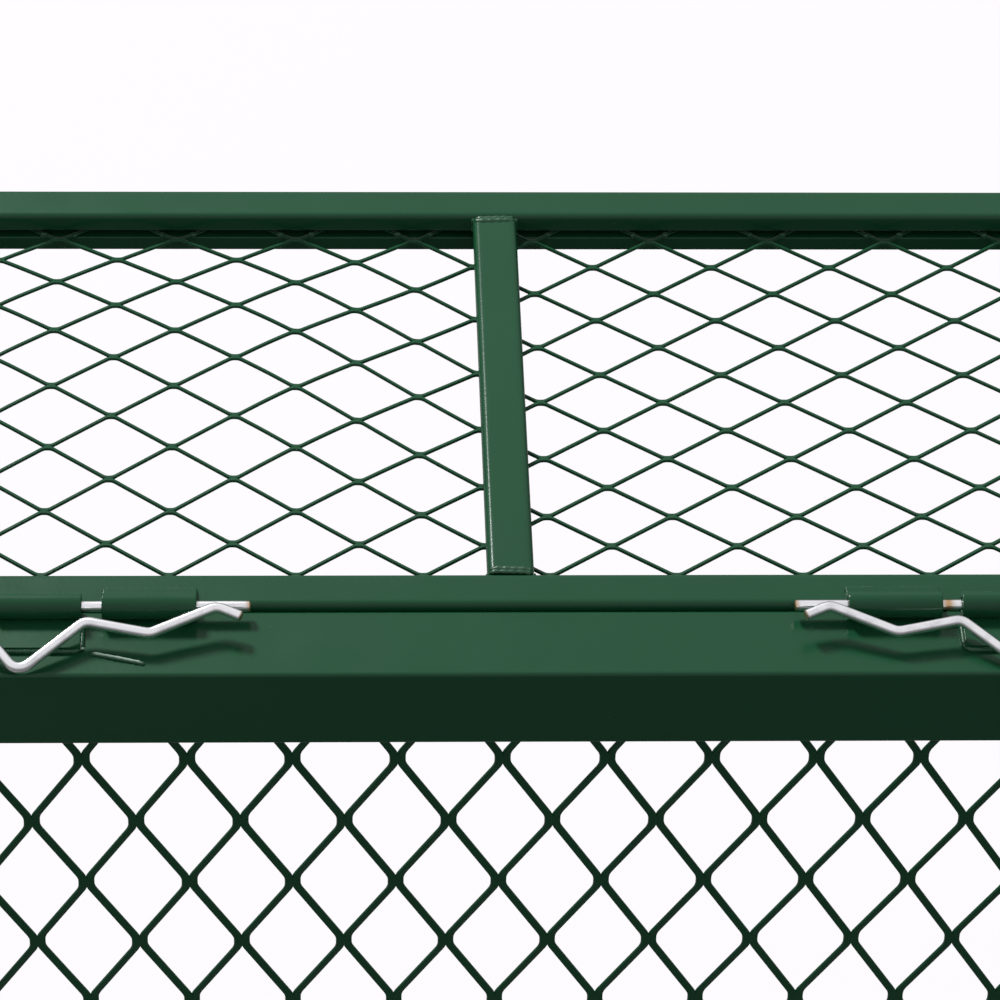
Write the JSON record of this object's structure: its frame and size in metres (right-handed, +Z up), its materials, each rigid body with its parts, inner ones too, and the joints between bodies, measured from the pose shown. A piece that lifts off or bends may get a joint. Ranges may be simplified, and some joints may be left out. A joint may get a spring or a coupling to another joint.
{
  "type": "livestock panel gate",
  "caption": "Mesh-filled square-tube gate leaf with a hinged mesh flap behind its top rail, held by two pull-out hairpin hinge pins.",
  "frame": {"origin": "middle of the bottom rail's underside, in the middle plane of the gate leaf", "axes": "+X along the rails to the right, +Y from the gate leaf towards the flap, +Z up"},
  "size_m": [0.61, 0.3113, 0.6129],
  "materials": {
    "paint": "gloss dark green powder coat",
    "zinc": "bright zinc-plated wire"
  },
  "bodies": {
    "gate": {"gate_top_rail": "paint", "gate_top_rail_cap_left": "paint", "gate_top_rail_cap_right": "paint", "gate_bottom_rail": "paint", "gate_bottom_rail_cap_left": "paint", "gate_bottom_rail_cap_right": "paint", "gate_stile_left": "paint", "gate_stile_right": "paint", "gate_mesh": "paint", "gate_hinge_left": "paint", "gate_hinge_right": "paint"},
    "flap": {"flap_near_rail": "paint", "flap_near_rail_cap_left": "paint", "flap_near_rail_cap_right": "paint", "flap_far_rail": "paint", "flap_far_rail_cap_left": "paint", "flap_far_rail_cap_right": "paint", "flap_far_strip": "paint", "flap_end_rail_left": "paint", "flap_end_rail_right": "paint", "flap_strut": "paint", "flap_mesh": "paint", "flap_hinge_left": "paint", "flap_hinge_right": "paint"},
    "clip_left": {"clip_left": "zinc"},
    "clip_right": {"clip_right": "zinc"}
  },
  "joints": [
    {"name": "flap_swing", "type": "hinge", "parent": "gate", "child": "flap", "pos_m": [0, 0.0155, 0.6057], "axis": [1, 0, 0], "range_deg": [0, 120]},
    {"name": "clip_left_pull", "type": "slide", "parent": "gate", "child": "clip_left", "axis": [-1, 0, 0], "range_m": [0, 0.105]},
    {"name": "clip_right_pull", "type": "slide", "parent": "gate", "child": "clip_right", "axis": [1, 0, 0], "range_m": [0, 0.105]}
  ]
}
